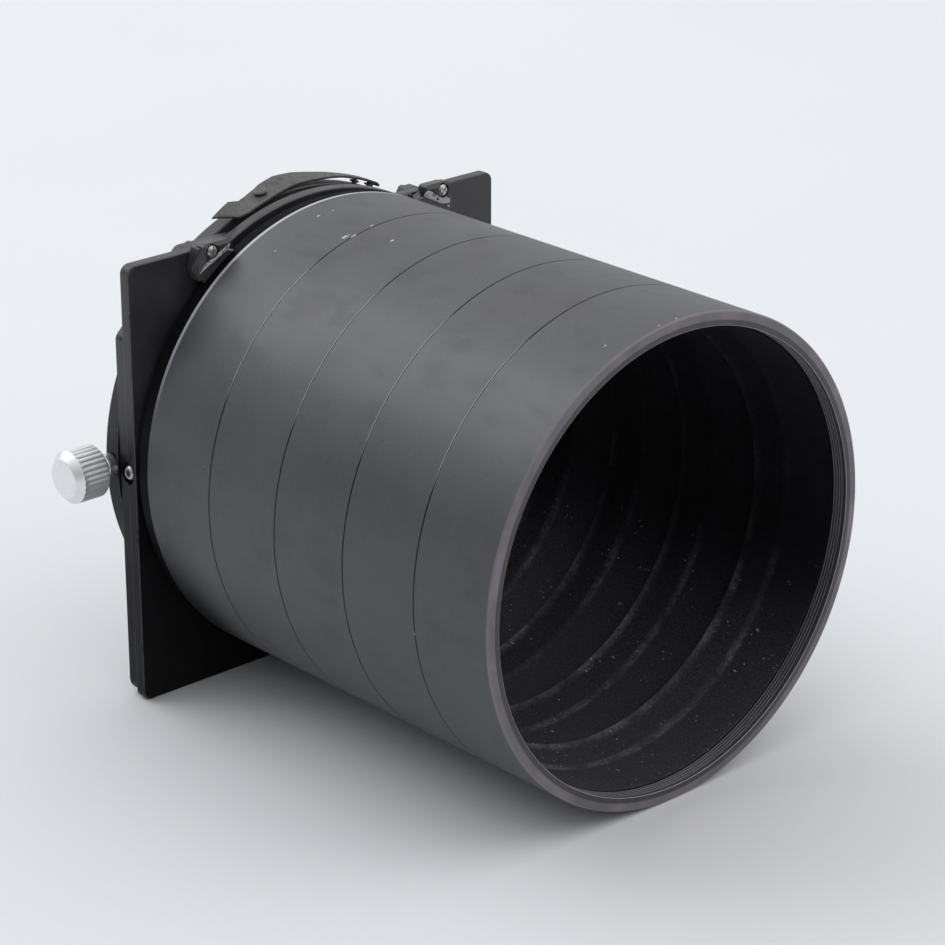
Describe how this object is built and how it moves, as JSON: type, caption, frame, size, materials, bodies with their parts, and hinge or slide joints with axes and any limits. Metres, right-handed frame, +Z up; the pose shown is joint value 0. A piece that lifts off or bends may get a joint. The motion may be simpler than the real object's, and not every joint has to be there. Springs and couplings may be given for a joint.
{
  "type": "lens hood",
  "caption": "Stacked-ring lens hood with a flocked, baffled bore on a square mounting plate, clamped over a lens by a thumb screw and a sprung catch.",
  "frame": {"origin": "middle of the base of the whole object's box, level with the plates' bottom edge", "axes": "+Y along the barrel axis from the front rim to the lens clamp ring, +Z up, the clamp screw on the -X side"},
  "size_m": [0.1094, 0.1178, 0.1002],
  "materials": {
    "anodised_barrel": "satin dark grey anodising, finely scuffed",
    "black_flock": "short black flocking",
    "gloss_black_paint": "gloss black enamel",
    "satin_black_paint": "satin black enamel",
    "dull_spring_steel": "dull blackened spring steel",
    "bright_plated_metal": "bright satin plating",
    "white_nylon": "natural nylon",
    "blackened_steel": "blackened, bright where the driver has worn it"
  },
  "bodies": {
    "hood": {"hood_section_1": "anodised_barrel", "hood_section_2": "anodised_barrel", "hood_section_3": "anodised_barrel", "hood_section_4": "anodised_barrel", "hood_section_5": "anodised_barrel", "flock_lining_1": "black_flock", "flock_lining_2": "black_flock", "flock_lining_3": "black_flock", "flock_lining_4": "black_flock", "flock_lining_5": "black_flock", "flanged_neck": "anodised_barrel", "front_plate": "gloss_black_paint", "rear_plate": "gloss_black_paint", "lens_clamp_ring": "satin_black_paint", "clamp_felt": "black_flock", "retaining_lug_left": "gloss_black_paint", "retaining_lug_right": "gloss_black_paint", "strip_rivet_1": "dull_spring_steel", "strip_rivet_2": "dull_spring_steel", "thumb_collar": "bright_plated_metal", "grub_screw_left": "blackened_steel", "grub_screw_right": "blackened_steel", "lug_back_screw_left": "blackened_steel", "lug_back_screw_right": "blackened_steel", "lug_screw_left": "blackened_steel", "lug_screw_right": "blackened_steel", "ring_screw_1": "blackened_steel", "ring_screw_2": "blackened_steel", "ring_screw_3": "blackened_steel", "ring_screw_4": "blackened_steel"},
    "catch": {"catch_strip": "dull_spring_steel", "catch_pin": "dull_spring_steel"},
    "clamp_tip": {"thumb_tip": "white_nylon"},
    "clamp_screw": {"thumb_knob": "bright_plated_metal", "thumb_shank": "bright_plated_metal"}
  },
  "joints": [
    {"name": "catch_lift", "type": "hinge", "parent": "hood", "child": "catch", "pos_m": [0.02434, 0.05337, 0.09647], "axis": [0, 1, 0], "range_deg": [0, 3], "stiffness_Nm_per_rad": 1.2},
    {"name": "tip_slide", "type": "slide", "parent": "hood", "child": "clamp_tip", "axis": [1, 0, 0], "range_m": [-0.00269, 0.00045]},
    {"name": "thumb_turn", "type": "hinge", "parent": "clamp_tip", "child": "clamp_screw", "pos_m": [-0.04675, 0.05343, 0.0502], "axis": [1, 0, 0], "range_deg": [-2160, 360]}
  ],
  "couplings": [
    {"joint": "thumb_turn", "follows": "tip_slide", "rad_per_m": 13963}
  ]
}
